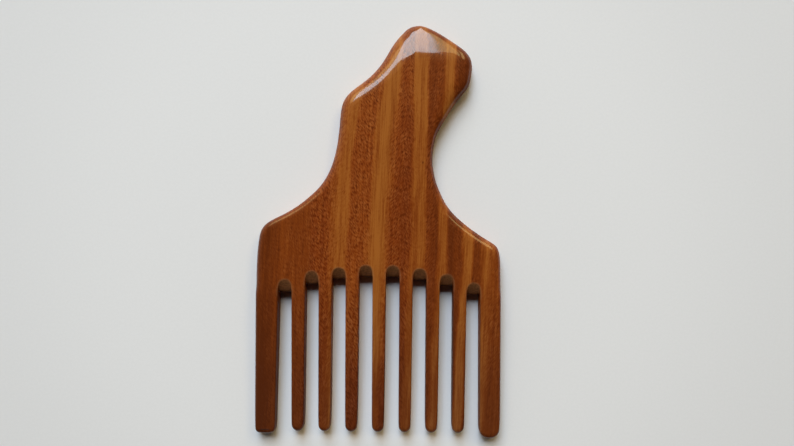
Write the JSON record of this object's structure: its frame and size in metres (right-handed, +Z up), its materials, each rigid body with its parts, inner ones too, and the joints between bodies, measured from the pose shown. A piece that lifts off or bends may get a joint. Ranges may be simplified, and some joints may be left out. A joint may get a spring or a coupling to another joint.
{
  "type": "afro pick",
  "caption": "Wide-tooth wooden afro pick cut from one striped board, with rounded teeth, filed gap roots, sloping shoulders and a leaning grip handle.",
  "frame": {"origin": "middle of the pick's length and width, on the flat back that it lies on", "axes": "+X to the right across the teeth, +Y along the pick to the handle's tip, +Z up out of the front face"},
  "size_m": [0.1035, 0.1738, 0.009],
  "materials": {
    "wood": "polished, semi-gloss"
  },
  "bodies": {
    "root": {"handle": "wood", "spine": "wood", "left_end_tooth": "wood", "tooth_1": "wood", "tooth_2": "wood", "tooth_3": "wood", "tooth_4": "wood", "tooth_5": "wood", "tooth_6": "wood", "tooth_7": "wood", "right_end_tooth": "wood"}
  },
  "joints": []
}
